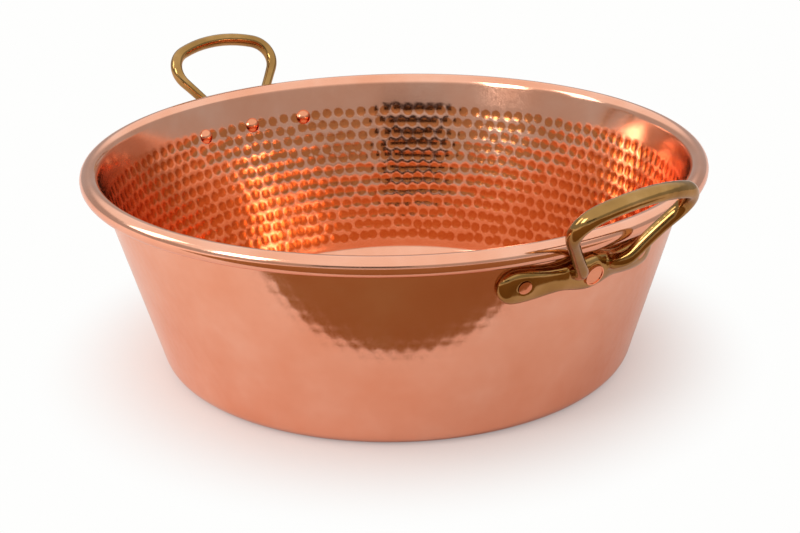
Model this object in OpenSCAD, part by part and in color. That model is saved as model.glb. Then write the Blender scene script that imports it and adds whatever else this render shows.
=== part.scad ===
// Copper jam pan: a flared bowl with a rolled rim, and two cast stirrup handles, each fixed by three rivets.
// Millimetres, +Z up, origin at the middle of the base. The handles lie along +X and -X.

/* [Bowl] */
// Inside diameter at the narrowest place of the rolled rim
rim_inner_d = 360; // [300:1:420]
// Overall height of the bowl, from the floor's underside to the top of the rim
pan_h = 129.2; // [100:0.1:160]
// Lean of the wall from upright, in degrees
wall_lean = 15.4; // [8:0.1:22]
// Thickness of the copper sheet
sheet_t = 1.2; // [1:0.1:2]
// Outside radius of the corner between floor and wall
corner_r = 12; // [8:0.5:20]
// Outside diameter of the rolled bead
bead_d = 11.2; // [9:0.1:14]
// Slot left between the curled edge and the wall
curl_slot = 0.3; // [0.2:0.05:0.6]

/* [Rivets] */
// Depth of the row of rivets below the top of the rim, where it meets the wall's outside
rivet_drop = 24.7; // [22:0.1:40]
// Distance from each end of the plate to its side rivet, along the wall
rivet_inset = 14.5; // [12:0.5:20]
// Diameter of the shanks
shank_d = 6; // [5:0.1:7]
// Clearance all round a shank in its holes
shank_gap = 0.05; // [0.02:0.01:0.15]
// Diameter of the domed heads inside the bowl
dome_d = 10.5; // [9:0.1:12]
// Height of the domed heads
dome_h = 3.4; // [2.5:0.1:4]
// Gap under a head and behind a plate, where metal seats on metal
seat_gap = 0.05; // [0.02:0.01:0.15]
// Diameter of the hammered end of a side rivet, flush in its countersink
end_d = 7.6; // [7.2:0.1:9]
// Depth of that countersink
end_depth = 1.4; // [1:0.1:2]
// Height of the slight crown on a hammered end
end_crown = 0.35; // [0.1:0.05:0.6]
// Diameter of the coin-like head of the middle rivet
coin_d = 12; // [10:0.1:13]
// Thickness of the coin-like head
coin_t = 1.6; // [1.2:0.1:2]
// Width of the raised ring on the coin-like head
coin_ring_w = 0.9; // [0.6:0.1:1.5]
// Height of that ring above the coin's face
coin_ring_h = 0.4; // [0.2:0.05:0.8]

/* [Handle plate] */
// Length of the plate along the wall
plate_l = 110; // [106:1:124]
// Height of each ear of the plate
ear_h = 22; // [19:0.5:25]
// Height of the waist beside each ear
waist_h = 17; // [15:0.5:19]
// How far the ears and waists hang below the row of rivets
ear_low = 1.6; // [0:0.1:2.4]
// Height of the plate's middle, below and above the coin
middle_h = 24; // [20:0.5:26]
// Thickness of an ear where its rivet goes through
ear_t = 5.6; // [4.5:0.1:7]
// Thickness of the plate's middle at the coin
middle_t = 8.4; // [7.5:0.1:10]
// Width of the thicker middle, along the wall
middle_w = 30; // [24:1:36]

/* [Handle loop] */
// Half distance between the two legs where the loop starts
leg_half = 18.4; // [15:0.1:22]
// Height where the loop starts, above the row of rivets
loop_rise = 9.3; // [7:0.1:12]
// Distance of the legs' middle from the wall where the loop starts
loop_off = 15; // [13:0.1:18]
// Length of the loop along its slope, to the middle of the top bar
loop_l = 53; // [46:0.1:62]
// Half width of the loop at its widest, to the middle of the bar
loop_half = 38.2; // [34:0.1:44]
// Radius of the loop's two upper corners
loop_r = 15.4; // [11:0.1:18]
// Crown of the top bar above the corners' ends
bar_crown = 4.3; // [2:0.1:6]
// Lean of the loop from upright where it starts, in degrees
lean_low = 25; // [18:0.5:28]
// Lean of the loop at its top bar, in degrees
lean_top = 43; // [34:0.5:50]
// Thickness of the legs, seen face on
leg_w = 6.8; // [6:0.1:9]
// Thickness of the legs, seen from the side
leg_d = 8.4; // [7.5:0.1:10]
// Thickness of the top bar, seen face on
bar_w = 8.6; // [7.5:0.1:11]
// Thickness of the top bar, seen from the side
bar_d = 10; // [8:0.1:12]
// How much wider a leg grows where it runs into the plate
root_flare = 1.35; // [1.1:0.05:1.6]
// Half distance between the two legs inside the plate
root_half = 11.8; // [11:0.1:14]
// Height of the legs' roots against the row of rivets, along the wall
root_low = 1.5; // [-1:0.1:4]
// Angle at which a leg leaves the plate, above level
root_lift = 38; // [20:1:55]

/* [Hidden] */
$fn = 180;
loop_sides = 16;

copper = "#c87850";
bronze = "#b08d4a";

// The wall, seen in section. Everything on it is placed from its outside line.
rivet_z = pan_h - rivet_drop;
rivet_pitch = plate_l / 2 - rivet_inset;
cl = cos(wall_lean);
sl = sin(wall_lean);
bead_r = bead_d / 2;
bead_x = rim_inner_d / 2 + bead_r;
bead_z = pan_h - bead_r;
// Distance of the wall's outside line from the origin, along the wall's own normal
wall_c = bead_x * cl - bead_z * sl - bead_r + sheet_t;
// Radius of the wall's outside at height z, at a distance off from it
function wall_x(z, off = 0) = (wall_c + off + z * sl) / cl;
corner_x = (wall_c - corner_r * (1 - sl)) / cl;

// A point off the wall: angle a round the pan, v up the slope from the row of rivets, off square to the wall
row_x = wall_x(rivet_z);
function on_wall(a, v, off) =
    let (r = row_x + v * sl + off * cl)
    [r * cos(a), r * sin(a), rivet_z + v * cl - off * sl];
function arc_deg(u) = u / row_x * 180 / PI;
pitch_deg = arc_deg(rivet_pitch);

// Smooth step between two heights, and a bell that is 1 in the middle
function ease(x) = let (c = min(1, max(0, x))) c * c * (3 - 2 * c);
function bell(x, w) = 1 - ease(abs(x) / w);

// Bowl

// The section inside the wall's outside line, drawn in by o
module section(o, top) {
    polygon([
        [0, o],
        [corner_x, o],
        [corner_x + (corner_r - o) * cl, corner_r - (corner_r - o) * sl],
        [wall_x(top, -o), top],
        [0, top]
    ]);
    translate([corner_x, corner_r]) circle(r = corner_r - o);
}

module sheet_section() {
    // Floor, corner and wall, up to where the wall runs into the bead
    difference() {
        section(0, pan_h);
        section(sheet_t, pan_h + 1);
        translate([bead_x, bead_z]) rotate(-wall_lean) translate([-bead_d * 2, 0]) square([bead_d * 4, bead_d * 4]);
        translate([-1, -1]) square([1, pan_h + 3]);
    }
    // The bead, with the slot where the edge curls back to the wall
    difference() {
        translate([bead_x, bead_z]) circle(r = bead_r);
        translate([bead_x, bead_z]) circle(r = bead_r - sheet_t);
        translate([bead_x, bead_z]) rotate(-wall_lean)
            translate([-bead_r + sheet_t, -bead_d]) square([curl_slot, bead_d]);
    }
}

// Puts a child on a rivet's axis, with +Z outward and z = 0 on the wall's outside
module at_rivet(side, step) {
    rotate([0, 0, side + step * pitch_deg])
        translate([row_x, 0, rivet_z])
            rotate([0, 90 + wall_lean, 0])
                children();
}

module rivet_holes(side, out) {
    for (step = [-1, 0, 1])
        at_rivet(side, step)
            translate([0, 0, -sheet_t * 3]) cylinder(d = shank_d + 2 * shank_gap, h = sheet_t * 3 + out, $fn = 48);
}

module bowl() {
    color(copper)
    difference() {
        rotate_extrude() sheet_section();
        rivet_holes(0, 4);
        rivet_holes(180, 4);
    }
}

// Handle plate, lofted round the wall from its own outline and thickness

stations = 46;
plate_half = plate_l / 2;
ear_c = plate_half - ear_h / 2;
// Half height of the plate at a distance u from its middle
function half_h(u) =
    let (a = abs(u))
    a > ear_c ? sqrt(max(0, pow(ear_h / 2, 2) - pow((a - ear_c) * ear_h / 2 / (plate_half - ear_c), 2)))
    : ear_h / 2 - (ear_h - waist_h) / 2 * ease((ear_c - a) / (ear_c - middle_w * 0.62))
        + (middle_h - waist_h) / 2 * bell(u, middle_w * 0.62);
// Height of the plate's middle line there, against the row of rivets
function sag(u) = ear_low * (bell(u, middle_w) - 1);
// Greatest thickness at that distance
function thick(u) =
    let (a = abs(u), edge = (plate_half - a) / 7)
    (ear_t + (middle_t - ear_t) * bell(u, middle_w * 0.8)) * (edge < 1 ? sqrt(max(0, 1 - pow(1 - edge, 2))) : 1);
// The pillow across the plate's height, from 0 at an edge to 1 in the middle
function pillow(w) = pow(1 - pow(abs(w), 3.2), 0.5);
ring_n = 13;
function station_u(i) = plate_half * 0.9985 * sin(90 * (2 * i / stations - 1));
function plate_ring(u) =
    let (h = half_h(u), t = thick(u), a = arc_deg(u))
    [for (k = [0:ring_n - 1])
        let (w = -cos(180 * k / (ring_n - 1)))
        on_wall(a, sag(u) + w * h, seat_gap + t * (0.12 + 0.88 * pillow(w)))];
// A closed skin over rings that all have the same number of points
module skin(rings) {
    n = len(rings[0]);
    m = len(rings);
    pts = [for (r = rings) each r];
    sides = [for (j = [0:m - 2]) for (i = [0:n - 1])
        let (a = j * n + i, b = j * n + (i + 1) % n)
        each [[a, b, b + n], [a, b + n, a + n]]];
    ends = [[for (i = [n - 1:-1:0]) i], [for (i = [0:n - 1]) (m - 1) * n + i]];
    polyhedron(points = pts, faces = concat(sides, ends));
}

module plate() {
    skin([for (i = [0:stations])
        let (u = station_u(i))
        concat(plate_ring(u), [for (w = [1, -1]) on_wall(arc_deg(u), sag(u) + w * half_h(u), seat_gap)])]);
}

// Handle loop, swept along its own middle line

// The flat form of one side: a straight leg, a round corner, and half of the crowned top bar
corner_cx = loop_half - loop_r;
corner_cy = loop_l - loop_r - bar_crown;
bar_r = loop_r + (corner_cx * corner_cx + bar_crown * bar_crown) / (2 * bar_crown);
bar_deg = atan2(corner_cx, corner_cy - (loop_l - bar_r));
foot_d = norm([corner_cx - leg_half, corner_cy]);
leg_deg = atan2(corner_cx - leg_half, corner_cy) + asin(loop_r / foot_d);
leg_len = sqrt(foot_d * foot_d - loop_r * loop_r);
flat_form = concat(
    [for (i = [0:5]) [leg_half, 0] + leg_len * i / 6 * [sin(leg_deg), cos(leg_deg)]],
    [for (i = [0:11])
        let (p = 90 + leg_deg + (bar_deg - 90 - leg_deg) * i / 12)
        [corner_cx, corner_cy] + loop_r * [sin(p), cos(p)]],
    [for (i = [0:5]) let (p = bar_deg * (1 - i / 5)) [0, loop_l - bar_r] + bar_r * [sin(p), cos(p)]]
);

// The flat form leans out further and further as it rises: each station is [x, y, z, lean, width, depth]
foot_z = rivet_z + loop_rise;
foot_x = wall_x(foot_z) + loop_off;
bend = (lean_top - lean_low) / loop_l;
function lean(y) = lean_low + bend * y;
function bar_part(y) = ease((y / loop_l - 0.25) / 0.65);
function loop_station(p) = [
    foot_x + (cos(lean_low) - cos(lean(p[1]))) / bend * 180 / PI,
    p[0],
    foot_z + (sin(lean(p[1])) - sin(lean_low)) / bend * 180 / PI,
    lean(p[1]),
    leg_w + (bar_w - leg_w) * bar_part(p[1]),
    leg_d + (bar_d - leg_d) * bar_part(p[1])
];

// The root of a leg: a curve from inside the plate's middle out to the foot, flaring where it joins
foot = [foot_x, leg_half, foot_z];
foot_dir = [sin(lean_low) * cos(leg_deg), sin(leg_deg), cos(lean_low) * cos(leg_deg)];
root = on_wall(0, root_low, middle_t * 0.5) + [0, root_half, 0];
root_dir = [cos(root_lift), 0.2, sin(root_lift)];
function curve(t, a, b, c, d) =
    pow(1 - t, 3) * a + 3 * t * pow(1 - t, 2) * b + 3 * t * t * (1 - t) * c + pow(t, 3) * d;
function slope(t, a, b, c, d) = 3 * pow(1 - t, 2) * (b - a) + 6 * t * (1 - t) * (c - b) + 3 * t * t * (d - c);
root_reach = norm(foot - root) * 0.42;
root_b = root + root_dir * root_reach;
root_c = foot - foot_dir * root_reach;
root_n = 12;
// Rounds off the root's own end, inside the plate
function round_end(t) = t < 0.35 ? max(0.2, sqrt(1 - pow(1 - t / 0.35, 2))) : 1;
function root_station(t) =
    let (
        p = curve(t, root, root_b, root_c, foot),
        d = slope(t, root, root_b, root_c, foot),
        flare = (root_flare - 1) * pow(1 - t, 1.6),
        g = round_end(t)
    )
    [p[0], p[1], p[2], atan2(d[0], d[2]), leg_w * (1 + flare) * g, leg_d * (1 + 0.6 * flare) * g];

half_path = concat([for (i = [0:root_n - 1]) root_station(i / root_n)], [for (p = flat_form) loop_station(p)]);
path_n = len(half_path);
path = concat(half_path, [for (i = [path_n - 2:-1:0])
    let (q = half_path[i]) [q[0], -q[1], q[2], q[3], q[4], q[5]]]);
function at(i) = [path[i][0], path[i][1], path[i][2]];
function loop_ring(i) =
    let (
        a = max(0, i - 1),
        b = min(len(path) - 1, i + 1),
        t = (at(b) - at(a)) / norm(at(b) - at(a)),
        q = path[i],
        n = [cos(q[3]), 0, -sin(q[3])],
        e = cross(n, t)
    )
    [for (k = [0:loop_sides - 1])
        let (g = 360 * k / loop_sides)
        at(i) + e * q[4] / 2 * cos(g) + n * q[5] / 2 * sin(g)];

module loop() {
    skin([for (i = [len(path) - 1:-1:0]) loop_ring(i)]);
}

// Levels of the rivets' outer ends above the wall's outside
ear_top = seat_gap + ear_t;
coin_face = seat_gap + middle_t;

module handle_form() {
    difference() {
        union() {
            plate();
            loop();
        }
        for (step = [-1, 0, 1])
            at_rivet(0, step)
                translate([0, 0, -sheet_t]) cylinder(d = shank_d + 2 * shank_gap, h = sheet_t + middle_t, $fn = 48);
        for (step = [-1, 1])
            at_rivet(0, step)
                translate([0, 0, ear_top - end_depth])
                    cylinder(d1 = shank_d + 2 * shank_gap, d2 = end_d + 2 * shank_gap, h = end_depth, $fn = 48);
        // Room over each countersink, and the round seat of the coin
        for (step = [-1, 1])
            at_rivet(0, step)
                translate([0, 0, ear_top - 0.01]) cylinder(d = end_d + 2 * shank_gap, h = ear_t, $fn = 48);
        at_rivet(0, 0)
            translate([0, 0, coin_face - coin_t - seat_gap])
                cylinder(d = coin_d + 4 * shank_gap, h = coin_t + middle_t, $fn = 72);
    }
}

module handle_right() {
    color(bronze) handle_form();
}

module handle_left() {
    color(bronze) rotate([0, 0, 180]) handle_form();
}

// Rivets

dome_r = (pow(dome_d / 2, 2) + dome_h * dome_h) / (2 * dome_h);
crown_r = (pow(end_d / 2, 2) + end_crown * end_crown) / (2 * end_crown);

// The domed head inside the bowl: its underside follows the wall
module dome(side, step) {
    intersection() {
        at_rivet(side, step)
            intersection() {
                translate([0, 0, -sheet_t - dome_h + dome_r]) sphere(r = dome_r, $fn = 72);
                translate([0, 0, -sheet_t - dome_h - 1]) cylinder(d = dome_d - 0.2, h = dome_h + 2, $fn = 72);
            }
        rotate_extrude() section(sheet_t + seat_gap, rivet_z + dome_d * 2);
    }
}

module side_rivet(side, step) {
    dome(side, step);
    at_rivet(side, step) {
        translate([0, 0, -sheet_t - dome_h / 2]) cylinder(d = shank_d, h = sheet_t + dome_h / 2 + ear_top, $fn = 48);
        translate([0, 0, ear_top - end_depth]) cylinder(d1 = shank_d, d2 = end_d, h = end_depth, $fn = 48);
        intersection() {
            translate([0, 0, ear_top + end_crown - crown_r]) sphere(r = crown_r, $fn = 72);
            translate([0, 0, ear_top]) cylinder(d = end_d, h = end_crown * 2, $fn = 48);
        }
    }
}

module centre_rivet(side) {
    dome(side, 0);
    at_rivet(side, 0) {
        translate([0, 0, -sheet_t - dome_h / 2])
            cylinder(d = shank_d, h = sheet_t + dome_h / 2 + coin_face - coin_t / 2, $fn = 48);
        translate([0, 0, coin_face - coin_t]) cylinder(d = coin_d, h = coin_t, $fn = 72);
        translate([0, 0, coin_face - coin_t / 2])
            difference() {
                cylinder(d = coin_d, h = coin_t / 2 + coin_ring_h, $fn = 72);
                translate([0, 0, -1]) cylinder(d = coin_d - 2 * coin_ring_w, h = coin_t + coin_ring_h + 2, $fn = 72);
            }
    }
}

module rivet_right_front() { color(copper) side_rivet(0, -1); }
module rivet_right_centre() { color(copper) centre_rivet(0); }
module rivet_right_back() { color(copper) side_rivet(0, 1); }
module rivet_left_front() { color(copper) side_rivet(180, 1); }
module rivet_left_centre() { color(copper) centre_rivet(180); }
module rivet_left_back() { color(copper) side_rivet(180, -1); }

bowl();
handle_right();
handle_left();
rivet_right_front();
rivet_right_centre();
rivet_right_back();
rivet_left_front();
rivet_left_centre();
rivet_left_back();
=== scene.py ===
# Copper jam pan: a hammered bowl with a rolled bead, two cast bronze handles and six copper rivets.
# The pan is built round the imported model's frame, in metres, then lit and seen as in the photograph.

import math
import bmesh
import bpy
from mathutils import Matrix, Vector


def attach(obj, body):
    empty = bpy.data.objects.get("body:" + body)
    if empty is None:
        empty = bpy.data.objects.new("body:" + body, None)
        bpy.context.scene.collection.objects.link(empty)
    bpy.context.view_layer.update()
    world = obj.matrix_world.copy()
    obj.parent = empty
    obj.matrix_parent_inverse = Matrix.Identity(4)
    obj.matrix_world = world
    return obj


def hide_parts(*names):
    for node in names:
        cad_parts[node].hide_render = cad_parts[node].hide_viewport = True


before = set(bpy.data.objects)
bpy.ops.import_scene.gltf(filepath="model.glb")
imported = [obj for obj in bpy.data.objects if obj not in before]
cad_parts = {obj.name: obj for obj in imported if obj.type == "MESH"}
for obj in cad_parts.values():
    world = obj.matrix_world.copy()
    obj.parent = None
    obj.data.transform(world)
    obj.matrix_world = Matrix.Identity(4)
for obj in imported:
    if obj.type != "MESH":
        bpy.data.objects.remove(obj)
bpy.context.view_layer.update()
MM = 0.001


# Colour

def linear(code):
    """An sRGB hex colour as linear red, green, blue and alpha."""
    parts = [int(code[i:i + 2], 16) / 255 for i in (1, 3, 5)]
    return tuple([p / 12.92 if p <= 0.04045 else ((p + 0.055) / 1.055) ** 2.4 for p in parts] + [1.0])


# Camera: 0.96 m away, 21.5 degrees down, with the near handle to the right

def place_camera():
    data = bpy.data.cameras.new("camera")
    camera = bpy.data.objects.new("camera", data)
    bpy.context.collection.objects.link(camera)
    round_z = math.radians(55.105)
    distance, height = 875.24 * MM, 395.45 * MM
    pitch, turn, roll = 0.3754, -0.0064, -0.0242
    heading = math.pi / 2 - turn + round_z
    level = math.cos(pitch)
    ahead = Vector((math.cos(heading) * level, math.sin(heading) * level, -math.sin(pitch)))
    right = Vector((math.sin(heading), -math.cos(heading), 0))
    up = right.cross(ahead)
    across = right * math.cos(roll) + up * math.sin(roll)
    upward = up * math.cos(roll) - right * math.sin(roll)
    spot = Vector((distance * math.sin(round_z), -distance * math.cos(round_z), height))
    turned = Matrix((across, upward, -ahead)).transposed().to_4x4()
    camera.matrix_world = Matrix.Translation(spot) @ turned
    data.sensor_width = 36
    data.lens = 66.438
    data.shift_x = 0.0165
    data.clip_start = 0.01
    bpy.context.scene.camera = camera
    return ahead


# Materials

def add(tree, kind, settings=None, links=None):
    """Adds a node to a tree, with its settings by name and its inputs as values or other nodes' sockets."""
    node = tree.nodes.new(kind)
    for name, value in (settings or {}).items():
        setattr(node, name, value)
    for key, value in (links or {}).items():
        if isinstance(value, bpy.types.NodeSocket):
            tree.links.new(value, node.inputs[key])
        else:
            node.inputs[key].default_value = value
    return node


def new_material(name):
    made = bpy.data.materials.new(name)
    made.use_nodes = True
    made.node_tree.nodes.clear()
    return made, made.node_tree


def ramp(tree, source, stops):
    node = add(tree, "ShaderNodeValToRGB", {}, {"Fac": source})
    marks = node.color_ramp.elements
    for mark, (place, code) in zip((marks[0], marks[1]), (stops[0], stops[-1])):
        mark.position = place
        mark.color = linear(code)
    for place, code in stops[1:-1]:
        marks.new(place).color = linear(code)
    return node.outputs["Color"]


CLOUD = 38


def polished_copper(name, tones, rough, scratch_mm, bump_mm):
    """Polished copper: a warm pink metal, faintly clouded, with painted shade darkening the colour inside
    each hammer mark.
    """
    made, tree = new_material(name)
    place = add(tree, "ShaderNodeTexCoord").outputs["Object"]
    cloud = add(tree, "ShaderNodeTexNoise", {}, {"Vector": place, "Scale": 1 / (CLOUD * MM), "Detail": 3.0,
                                                "Roughness": 0.55})
    wide = ramp(tree, cloud.outputs["Fac"], tones)
    # Painted shade: the colour is multiplied by a darker tan inside each hammer dish, more so the deeper the
    # place lies
    depth = add(tree, "ShaderNodeAttribute", {"attribute_name": "dish"}).outputs["Fac"]
    floor = add(tree, "ShaderNodeMapRange", {"interpolation_type": "SMOOTHSTEP"}, {
        "Value": depth, "From Min": 0.2, "From Max": 0.5}).outputs["Result"]
    tint = add(tree, "ShaderNodeMix", {"data_type": "RGBA", "blend_type": "MULTIPLY"}, {
        0: floor, 6: wide, 7: linear("#deb684")}).outputs[2]
    fine = add(tree, "ShaderNodeTexNoise", {}, {
        "Vector": place, "Scale": 1 / (scratch_mm * MM), "Detail": 2.0})
    spread = add(tree, "ShaderNodeMapRange", {}, {
        "Value": fine.outputs["Fac"], "From Min": 0.3, "From Max": 0.7,
        "To Min": rough * 0.75, "To Max": rough * 1.3})
    relief = add(tree, "ShaderNodeBump", {}, {
        "Height": fine.outputs["Fac"], "Strength": 0.25, "Distance": bump_mm * MM})
    shader = add(tree, "ShaderNodeBsdfPrincipled", {}, {
        "Base Color": tint, "Metallic": 1.0, "Roughness": spread.outputs["Result"],
        "Normal": relief.outputs["Normal"]})
    add(tree, "ShaderNodeOutputMaterial", {}, {"Surface": shader.outputs["BSDF"]})
    return made


def cast_bronze(name):
    """Cast bronze, belt polished: a golden olive metal with slow waves of the polish and a few fine pits."""
    made, tree = new_material(name)
    place = add(tree, "ShaderNodeTexCoord").outputs["Object"]
    cloud = add(tree, "ShaderNodeTexNoise", {}, {"Vector": place, "Scale": 1 / (22 * MM), "Detail": 3.0})
    tint = ramp(tree, cloud.outputs["Fac"], [(0.3, "#92703f"), (0.55, "#aa854e"), (0.75, "#bf9a64")])
    wave = add(tree, "ShaderNodeTexNoise", {}, {"Vector": place, "Scale": 1 / (9 * MM), "Detail": 1.0})
    pits = add(tree, "ShaderNodeTexNoise", {}, {"Vector": place, "Scale": 1 / (0.8 * MM), "Detail": 2.0})
    slow = add(tree, "ShaderNodeBump", {}, {
        "Height": wave.outputs["Fac"], "Strength": 0.35, "Distance": 0.35 * MM})
    relief = add(tree, "ShaderNodeBump", {}, {
        "Height": pits.outputs["Fac"], "Strength": 0.2, "Distance": 0.04 * MM,
        "Normal": slow.outputs["Normal"]})
    shader = add(tree, "ShaderNodeBsdfPrincipled", {}, {
        "Base Color": tint, "Metallic": 1.0, "Roughness": 0.12, "Normal": relief.outputs["Normal"]})
    add(tree, "ShaderNodeOutputMaterial", {}, {"Surface": shader.outputs["BSDF"]})
    return made


# Bowl: the section's own sizes, in millimetres, as the solid has them

LEAN = math.radians(15.4)
CL, SL = math.cos(LEAN), math.sin(LEAN)
SHEET, CORNER, BEAD = 1.2, 12.0, 5.6
BEAD_X, BEAD_Z = 185.6, 123.6
WALL = BEAD_X * CL - BEAD_Z * SL - BEAD + SHEET
CORNER_X = (WALL - CORNER * (1 - SL)) / CL
ROUND = 655


def wall_x(z, off=0.0):
    return (WALL + off + z * SL) / CL


def bowl_section():
    """The closed section, from the middle of the floor inside, over the bead, to the underside's middle."""
    points = [(r, SHEET) for r in (12, 40, 75, 105, 125, CORNER_X)]
    inner = CORNER - SHEET
    for i in range(1, 10):
        a = -math.pi / 2 + (math.pi / 2 - LEAN) * i / 9
        points.append((CORNER_X + inner * math.cos(a), CORNER + inner * math.sin(a)))
    low = points[-1]
    high = (BEAD_X - BEAD * CL, BEAD_Z + BEAD * SL)
    steps = 66
    for i in range(1, steps):
        t = i / steps
        points.append((low[0] + (high[0] - low[0]) * t, low[1] + (high[1] - low[1]) * t))
    # The bead runs over the top and down to where it meets the wall's outside
    start = math.pi - LEAN
    stop = math.acos((BEAD - SHEET) / BEAD) - math.pi - LEAN
    for i in range(0, 19):
        a = start + (stop - start) * i / 18
        points.append((BEAD_X + BEAD * math.cos(a), BEAD_Z + BEAD * math.sin(a)))
    foot = points[-1]
    out_low = (CORNER_X + CORNER * CL, CORNER - CORNER * SL)
    steps = 40
    for i in range(1, steps + 1):
        t = i / steps
        points.append((foot[0] + (out_low[0] - foot[0]) * t, foot[1] + (out_low[1] - foot[1]) * t))
    for i in range(1, 9):
        a = -LEAN - (math.pi / 2 - LEAN) * i / 8
        points.append((CORNER_X + CORNER * math.cos(a), CORNER + CORNER * math.sin(a)))
    points += [(r, 0.0) for r in (105, 60, 15)]
    return points


def spun_bowl():
    """The smooth bowl as one closed skin, turned round the section."""
    section = bowl_section()
    mesh = bmesh.new()
    turns = [(math.cos(2 * math.pi * k / ROUND), math.sin(2 * math.pi * k / ROUND)) for k in range(ROUND)]
    rings = [[mesh.verts.new((r * MM * c, r * MM * s, z * MM)) for c, s in turns] for r, z in section]
    for a, b in zip(rings, rings[1:]):
        for k in range(ROUND):
            mesh.faces.new((a[k], b[k], b[(k + 1) % ROUND], a[(k + 1) % ROUND]))
    top = mesh.verts.new((0, 0, SHEET * MM))
    under = mesh.verts.new((0, 0, 0))
    for k in range(ROUND):
        mesh.faces.new((top, rings[0][k], rings[0][(k + 1) % ROUND]))
        mesh.faces.new((under, rings[-1][(k + 1) % ROUND], rings[-1][k]))
    bmesh.ops.recalc_face_normals(mesh, faces=mesh.faces)
    data = bpy.data.meshes.new("bowl_skin")
    mesh.to_mesh(data)
    mesh.free()
    data.polygons.foreach_set("use_smooth", [True] * len(data.polygons))
    piece = bpy.data.objects.new("hammered_bowl", data)
    bpy.context.collection.objects.link(piece)
    return piece


def math_node(tree, kind, a, b=0.0, c=0.0):
    return add(tree, "ShaderNodeMath", {"operation": kind}, {0: a, 1: b, 2: c}).outputs[0]


def hammer_tree():
    """Marks of the planishing hammer: round shallow dishes in staggered rows, each slightly off its place."""
    tree = bpy.data.node_groups.new("hammer_marks", "GeometryNodeTree")
    face = tree.interface
    face.new_socket("Geometry", in_out="INPUT", socket_type="NodeSocketGeometry")
    sizes = {}
    for name, value in (("Marks round", 131.0), ("Rows", 12.0), ("Row pitch", 8.3), ("First row", 8.0),
                        ("Drift", 0.8), ("Ball inside", 33.0), ("Depth inside", 0.28),
                        ("Ball outside", 62.0), ("Depth outside", 0.13)):
        made = face.new_socket(name, in_out="INPUT", socket_type="NodeSocketFloat")
        made.default_value = value
        sizes[name] = made.identifier
    finish = face.new_socket("Material", in_out="INPUT", socket_type="NodeSocketMaterial")
    sizes["Material"] = finish.identifier
    face.new_socket("Geometry", in_out="OUTPUT", socket_type="NodeSocketGeometry")
    given = tree.nodes.new("NodeGroupInput")
    out = tree.nodes.new("NodeGroupOutput")
    get = given.outputs
    # One point for each mark, on the middle of the sheet
    count = math_node(tree, "MULTIPLY", get["Marks round"], get["Rows"])
    dots = add(tree, "GeometryNodePoints", {}, {"Count": count})
    index = add(tree, "GeometryNodeInputIndex").outputs[0]
    whole = math_node(tree, "DIVIDE", math_node(tree, "ADD", index, 0.5), get["Marks round"])
    row = math_node(tree, "FLOOR", whole)
    column = math_node(tree, "SUBTRACT", index, math_node(tree, "MULTIPLY", row, get["Marks round"]))
    stagger = math_node(tree, "MULTIPLY", math_node(tree, "MODULO", row, 2.0), 0.5)
    wander = []
    for seed in (3, 8):
        random = add(tree, "FunctionNodeRandomValue", {"data_type": "FLOAT"}, {"Seed": seed})
        random.inputs[2].default_value = -1.0
        random.inputs[3].default_value = 1.0
        wander.append(math_node(tree, "MULTIPLY", random.outputs[1], get["Drift"]))
    slide = math_node(tree, "DIVIDE", wander[0], 8.0)
    place = math_node(tree, "ADD", math_node(tree, "ADD", column, stagger), slide)
    turn = math_node(tree, "DIVIDE", place, get["Marks round"])
    angle = math_node(tree, "MULTIPLY", turn, 2 * math.pi)
    climb = math_node(tree, "ADD", math_node(tree, "MULTIPLY", row, get["Row pitch"]), get["First row"])
    climb = math_node(tree, "ADD", climb, wander[1])
    low_x = CORNER_X + (CORNER - SHEET / 2) * CL
    low_z = CORNER - (CORNER - SHEET / 2) * SL
    radius = math_node(tree, "MULTIPLY_ADD", climb, SL * MM, low_x * MM)
    height = math_node(tree, "MULTIPLY_ADD", climb, CL * MM, low_z * MM)
    spot = add(tree, "ShaderNodeCombineXYZ", {}, {
        "X": math_node(tree, "MULTIPLY", radius, math_node(tree, "COSINE", angle)),
        "Y": math_node(tree, "MULTIPLY", radius, math_node(tree, "SINE", angle)), "Z": height})
    placed = add(tree, "GeometryNodeSetPosition", {}, {
        "Geometry": dots.outputs[0], "Position": spot.outputs[0]})
    # Each place of the skin is dished by its distance from the nearest mark
    near = add(tree, "GeometryNodeProximity", {"target_element": "POINTS"}, {0: placed.outputs[0]})
    where = add(tree, "GeometryNodeInputPosition").outputs[0]
    parts = add(tree, "ShaderNodeSeparateXYZ", {}, {0: where}).outputs
    axis = math_node(tree, "SQRT", math_node(tree, "ADD", math_node(tree, "MULTIPLY", parts["X"], parts["X"]),
                                            math_node(tree, "MULTIPLY", parts["Y"], parts["Y"])))
    # Signed distance from the sheet's middle: below zero is inside
    off = math_node(tree, "SUBTRACT", math_node(tree, "MULTIPLY", axis, CL),
                    math_node(tree, "MULTIPLY_ADD", parts["Z"], SL, (WALL - SHEET / 2) * MM))
    inside = math_node(tree, "LESS_THAN", off, 0.0)
    away = math_node(tree, "DIVIDE", near.outputs["Distance"], MM)
    flat = math_node(tree, "SUBTRACT", math_node(tree, "MULTIPLY", away, away), (SHEET / 2) ** 2)

    def dish(ball, depth):
        bowl = math_node(tree, "DIVIDE", flat, math_node(tree, "MULTIPLY", ball, 2.0))
        return math_node(tree, "MAXIMUM", math_node(tree, "SUBTRACT", depth, bowl), 0.0)

    both = add(tree, "ShaderNodeMix", {"data_type": "FLOAT"}, {
        0: inside, 2: dish(get["Ball outside"], get["Depth outside"]),
        3: dish(get["Ball inside"], get["Depth inside"])})
    normal = add(tree, "GeometryNodeInputNormal").outputs[0]
    push = add(tree, "ShaderNodeVectorMath", {"operation": "SCALE"}, {0: normal})
    tree.links.new(math_node(tree, "MULTIPLY", both.outputs[0], -MM), push.inputs["Scale"])
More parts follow.
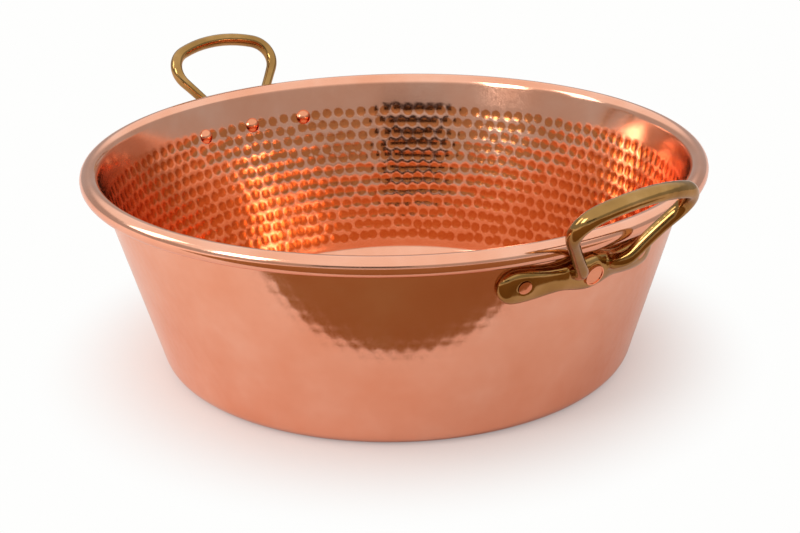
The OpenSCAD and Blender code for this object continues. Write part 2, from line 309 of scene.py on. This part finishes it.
    # How deep each place lies in its dish, from 0 on a ridge to 1, for the painted shade inside the marks
    painted_shade_share = math_node(tree, "DIVIDE", dish(get["Ball inside"], get["Depth inside"]), get["Depth inside"])
    marked = add(tree, "GeometryNodeStoreNamedAttribute", {"data_type": "FLOAT", "domain": "POINT"}, {
        "Geometry": get["Geometry"], "Name": "dish", "Value": math_node(tree, "MULTIPLY", painted_shade_share, inside)})
    struck = add(tree, "GeometryNodeSetPosition", {}, {
        "Geometry": marked.outputs[0], "Offset": push.outputs[0]})
    real = add(tree, "GeometryNodeRealizeInstances", {}, {0: struck.outputs[0]})
    coated = add(tree, "GeometryNodeSetMaterial", {}, {
        "Geometry": real.outputs[0], "Material": get["Material"]})
    tree.links.new(coated.outputs[0], out.inputs[0])
    return tree, sizes


def plain_mesh(piece, name):
    """The piece with its modifiers turned into a plain mesh."""
    ready = piece.evaluated_get(bpy.context.evaluated_depsgraph_get())
    data = bpy.data.meshes.new_from_object(ready)
    piece.modifiers.clear()
    piece.data = data
    data.name = name
    return piece


def hammered_bowl(finish):
    piece = spun_bowl()
    tree, sizes = hammer_tree()
    struck = piece.modifiers.new("hammer", "NODES")
    struck.node_group = tree
    struck[sizes["Material"]] = finish
    plain_mesh(piece, "hammered_bowl")
    return piece


# Handles and rivets: the solids' own forms, merged, and on the castings blended as a polished casting is

def merged_copy(node, name):
    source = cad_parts[node]
    mesh = bmesh.new()
    mesh.from_mesh(source.data)
    bmesh.ops.remove_doubles(mesh, verts=mesh.verts, dist=0.004 * MM)
    data = bpy.data.meshes.new(name)
    mesh.to_mesh(data)
    mesh.free()
    data.materials.clear()
    piece = bpy.data.objects.new(name, data)
    bpy.context.collection.objects.link(piece)
    return piece


def casting(node, name, finish):
    piece = merged_copy(node, name)
    cells = piece.modifiers.new("cells", "REMESH")
    cells.mode = "VOXEL"
    cells.voxel_size = 0.62 * MM
    cells.use_smooth_shade = True
    soft = piece.modifiers.new("soft", "SMOOTH")
    soft.factor = 0.5
    soft.iterations = 20
    plain_mesh(piece, name)
    piece.data.polygons.foreach_set("use_smooth", [True] * len(piece.data.polygons))
    piece.data.materials.append(finish)
    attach(piece, "root")
    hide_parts(node)
    return piece


def rivet(node, name, finish):
    piece = merged_copy(node, name)
    mesh = bmesh.new()
    mesh.from_mesh(piece.data)
    for face in mesh.faces:
        face.smooth = True
    for edge in mesh.edges:
        edge.smooth = not edge.is_manifold or edge.calc_face_angle() < math.radians(35)
    mesh.to_mesh(piece.data)
    mesh.free()
    piece.data.materials.append(finish)
    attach(piece, "root")
    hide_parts(node)
    return piece


# Studio: a white sweep, a dark room behind the camera and beyond the table's edge, and two soft boxes

def sheet_of(name, corners, finish):
    data = bpy.data.meshes.new(name)
    data.from_pydata(corners, [], [tuple(range(len(corners)))])
    data.materials.append(finish)
    card = bpy.data.objects.new(name, data)
    bpy.context.collection.objects.link(card)
    return card


def card_coat(name, code):
    made, tree = new_material(name)
    coat = add(tree, "ShaderNodeBsdfDiffuse", {}, {"Color": linear(code)})
    add(tree, "ShaderNodeOutputMaterial", {}, {"Surface": coat.outputs["BSDF"]})
    return made


def white_sweep():
    """A white floor with the pan's own shadow near it, seen as pure white further away; its own colour is
    painted a darker pink, standing in for the copper's glow and shade on the floor.
    """
    made, tree = new_material("white_sweep")
    place = add(tree, "ShaderNodeTexCoord").outputs["Object"]
    away = add(tree, "ShaderNodeVectorMath", {"operation": "LENGTH"}, {0: place}).outputs["Value"]
    clear = add(tree, "ShaderNodeMapRange", {"interpolation_type": "SMOOTHSTEP"}, {
        "Value": away, "From Min": 0.13, "From Max": 0.235, "To Min": 0.25, "To Max": 1.0}).outputs["Result"]
    camera_ray = add(tree, "ShaderNodeLightPath").outputs["Is Camera Ray"]
    share = math_node(tree, "MULTIPLY", clear, camera_ray)
    # Painted light and shade: a darker pink floor colour for the copper's glow on it, which also darkens the
    # floor's reflection in the pan
    floor_with_painted_glow = add(tree, "ShaderNodeBsdfDiffuse", {}, {"Color": linear("#ecdcd6")})
    white = add(tree, "ShaderNodeEmission", {}, {"Color": linear("#fefefd"), "Strength": 1.0})
    mix = add(tree, "ShaderNodeMixShader", {}, {0: share, 1: floor_with_painted_glow.outputs[0], 2: white.outputs[0]})
    add(tree, "ShaderNodeOutputMaterial", {}, {"Surface": mix.outputs[0]})
    return made


def bright_world():
    """Pure white to the camera; to the metal, a white ceiling over a dimmer horizon."""
    world = bpy.data.worlds.new("studio")
    bpy.context.scene.world = world
    world.use_nodes = True
    tree = world.node_tree
    tree.nodes.clear()
    toward = add(tree, "ShaderNodeTexCoord").outputs["Generated"]
    rise = add(tree, "ShaderNodeSeparateXYZ", {}, {0: toward}).outputs["Z"]
    glow = add(tree, "ShaderNodeMapRange", {"interpolation_type": "SMOOTHSTEP"}, {
        "Value": rise, "From Min": 0.3, "From Max": 0.45, "To Min": 0.5, "To Max": 1.1}).outputs["Result"]
    room = add(tree, "ShaderNodeBackground", {}, {"Color": linear("#f6f1ee"), "Strength": glow})
    white = add(tree, "ShaderNodeBackground", {}, {"Color": linear("#ffffff"), "Strength": 1.0})
    camera_ray = add(tree, "ShaderNodeLightPath").outputs["Is Camera Ray"]
    mix = add(tree, "ShaderNodeMixShader", {}, {0: camera_ray, 1: room.outputs[0], 2: white.outputs[0]})
    add(tree, "ShaderNodeOutputWorld", {}, {"Surface": mix.outputs[0]})


def studio(ahead):
    level = Vector((ahead.x, ahead.y, 0)).normalized()
    side = Vector((level.y, -level.x, 0))

    def out(right, forward, up):
        return tuple(side * right + level * forward + Vector((0, 0, up)))

    sheet_of("floor", [out(-3, -3, 0), out(3, -3, 0), out(3, 3, 0), out(-3, 3, 0)], white_sweep())
    near, far, wide = -0.21, -1.0, 0.5
    table = sheet_of("table_edge", [out(-wide, far, 0.0006), out(wide, far, 0.0006), out(wide, near, 0.0006),
                                    out(-wide, near, 0.0006)], card_coat("brown_card", "#94704a"))
    back, low, high = -1.25, 0.3, 0.485
    room = sheet_of("dark_room", [out(-0.62, back, low), out(0.1, back, low), out(0.1, back, high),
                                  out(-0.62, back, high)], card_coat("dark_card", "#2a1a10"))
    for card in (table, room):
        card.visible_camera = False
        card.visible_diffuse = False
        card.visible_shadow = False

    def softbox(name, where, aim, wide, tall, power):
        data = bpy.data.lights.new(name, "AREA")
        data.shape = "RECTANGLE"
        data.size, data.size_y = wide, tall
        data.energy = power
        lamp = bpy.data.objects.new(name, data)
        bpy.context.collection.objects.link(lamp)
        lamp.location = where
        lamp.rotation_euler = (Vector(aim) - Vector(where)).to_track_quat("-Z", "Y").to_euler()

    softbox("softbox_left", out(-1.1, -0.8, 0.84), (0, 0, 0.08), 0.45, 0.5, 5)
    softbox("softbox_side", out(-1.3, 0.1, 0.8), (0, 0, 0.08), 0.4, 0.6, 2.5)
    bright_world()
    bpy.context.scene.view_settings.view_transform = "Standard"


ahead = place_camera()
sheet_tones = [(0.3, "#efac8c"), (0.55, "#f3b699"), (0.75, "#f6c0a6")]
rivet_tones = [(0.3, "#e0946e"), (0.6, "#eea37e"), (0.8, "#f3b292")]
sheet_copper = polished_copper("polished_hammered_copper", sheet_tones, 0.12, 1.4, 0.02)
rivet_copper = polished_copper("polished_rivet_copper", rivet_tones, 0.16, 2.5, 0.25)
bronze = cast_bronze("polished_cast_bronze")

bowl = hammered_bowl(sheet_copper)
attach(bowl, "root")
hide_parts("bowl")
for where in ("right", "left"):
    casting("handle_" + where, "bronze_handle_" + where, bronze)
    for step in ("front", "centre", "back"):
        rivet("rivet_" + where + "_" + step, "copper_rivet_" + where + "_" + step, rivet_copper)
studio(ahead)
